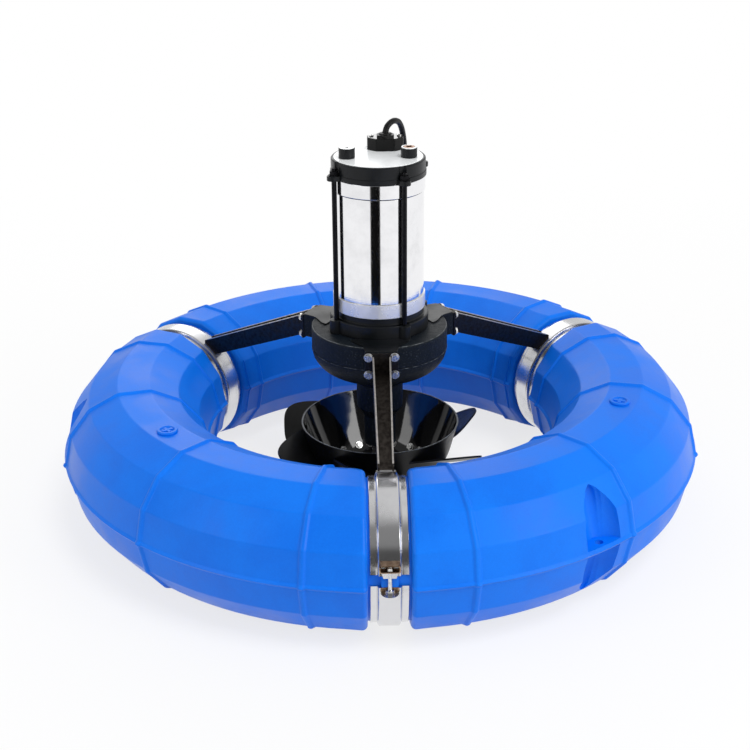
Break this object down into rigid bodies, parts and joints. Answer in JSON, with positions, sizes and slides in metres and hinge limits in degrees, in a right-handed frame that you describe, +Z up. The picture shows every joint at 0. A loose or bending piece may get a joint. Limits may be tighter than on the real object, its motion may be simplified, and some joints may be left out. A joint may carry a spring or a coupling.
{
  "type": "floating surface aerator",
  "caption": "Floating surface aerator: a ring float carries a submersible motor, planetary gearbox and bladed impeller bowl on braced arms.",
  "frame": {"origin": "on the ring's axis, on the flat surface that the ring rests on", "axes": "+Z up along the impeller's axis; +Y towards the back, away from the front band clamp; +X to the right as seen from the front"},
  "size_m": [1.3034, 1.5732, 0.7907],
  "materials": {
    "float_plastic": "satin blue polyethylene",
    "plug_plastic": "satin blue polyethylene",
    "stainless": "polished stainless steel",
    "zinc": "bright fastener steel",
    "black_iron": "black painted cast iron",
    "black_enamel": "glossy black enamel",
    "brass": "bright brass",
    "black_nylon": "black nylon",
    "gear_steel": "ground steel",
    "core_steel": "laminated core steel",
    "copper": "enamelled copper wire",
    "rubber": "black rubber",
    "cable_rubber": "black rubber sheath"
  },
  "bodies": {
    "frame": {"float_1": "float_plastic", "float_2": "float_plastic", "float_3": "float_plastic", "float_plug_1": "plug_plastic", "float_plug_2": "plug_plastic", "float_plug_3": "plug_plastic", "band_clamp_1": "stainless", "band_clamp_2": "stainless", "band_clamp_3": "stainless", "clamp_bolt_1": "zinc", "clamp_bolt_2": "zinc", "clamp_bolt_3": "zinc", "arm_1": "stainless", "arm_2": "stainless", "arm_3": "stainless", "gearbox_housing": "black_iron", "gearbox_bottom": "black_iron", "shaft_housing": "black_iron", "motor_seat": "black_iron", "motor_lower_collar": "stainless", "motor_barrel": "stainless", "motor_upper_collar": "stainless", "tie_rod_1": "black_enamel", "tie_rod_2": "black_enamel", "tie_rod_3": "black_enamel", "tie_rod_4": "black_enamel", "motor_cap": "black_enamel", "gland_box": "black_enamel", "oil_plug": "black_enamel", "brass_plug": "brass", "gland_nut": "black_nylon", "ring_gear": "gear_steel", "shaft_bearing_upper": "gear_steel", "shaft_bearing_lower": "gear_steel", "rotor_bearing_upper": "gear_steel", "rotor_bearing_lower": "gear_steel", "stator_core": "core_steel", "stator_winding_upper": "copper", "stator_winding_lower": "copper", "shaft_seal": "rubber", "cable": "cable_rubber", "cable_coil": "cable_rubber", "cable_tail": "cable_rubber"},
    "rotor": {"rotor_shaft": "gear_steel", "rotor_core": "core_steel", "sun_gear": "gear_steel"},
    "output": {"planet_carrier": "gear_steel", "output_shaft": "gear_steel", "impeller_bowl": "black_enamel", "impeller_nut": "zinc", "impeller_blade_1": "black_enamel", "impeller_blade_2": "black_enamel", "impeller_blade_3": "black_enamel", "impeller_blade_4": "black_enamel", "impeller_blade_5": "black_enamel", "impeller_blade_6": "black_enamel"},
    "planet_1": {"planet_gear_1": "gear_steel"},
    "planet_2": {"planet_gear_2": "gear_steel"},
    "planet_3": {"planet_gear_3": "gear_steel"}
  },
  "joints": [
    {"name": "output_spin", "type": "hinge", "parent": "frame", "child": "output", "pos_m": [0, 0, 0], "axis": [0, 0, 1], "continuous": true},
    {"name": "rotor_spin", "type": "hinge", "parent": "frame", "child": "rotor", "pos_m": [0, 0, 0], "axis": [0, 0, 1], "continuous": true},
    {"name": "planet_1_spin", "type": "hinge", "parent": "output", "child": "planet_1", "pos_m": [0, 0.0675, 0], "axis": [0, 0, 1], "continuous": true},
    {"name": "planet_2_spin", "type": "hinge", "parent": "output", "child": "planet_2", "pos_m": [-0.05846, -0.03375, 0], "axis": [0, 0, 1], "continuous": true},
    {"name": "planet_3_spin", "type": "hinge", "parent": "output", "child": "planet_3", "pos_m": [0.05846, -0.03375, 0], "axis": [0, 0, 1], "continuous": true}
  ],
  "couplings": [
    {"joint": "rotor_spin", "follows": "output_spin", "ratio": 6},
    {"joint": "planet_1_spin", "follows": "output_spin", "ratio": -2.5},
    {"joint": "planet_2_spin", "follows": "output_spin", "ratio": -2.5},
    {"joint": "planet_3_spin", "follows": "output_spin", "ratio": -2.5}
  ]
}
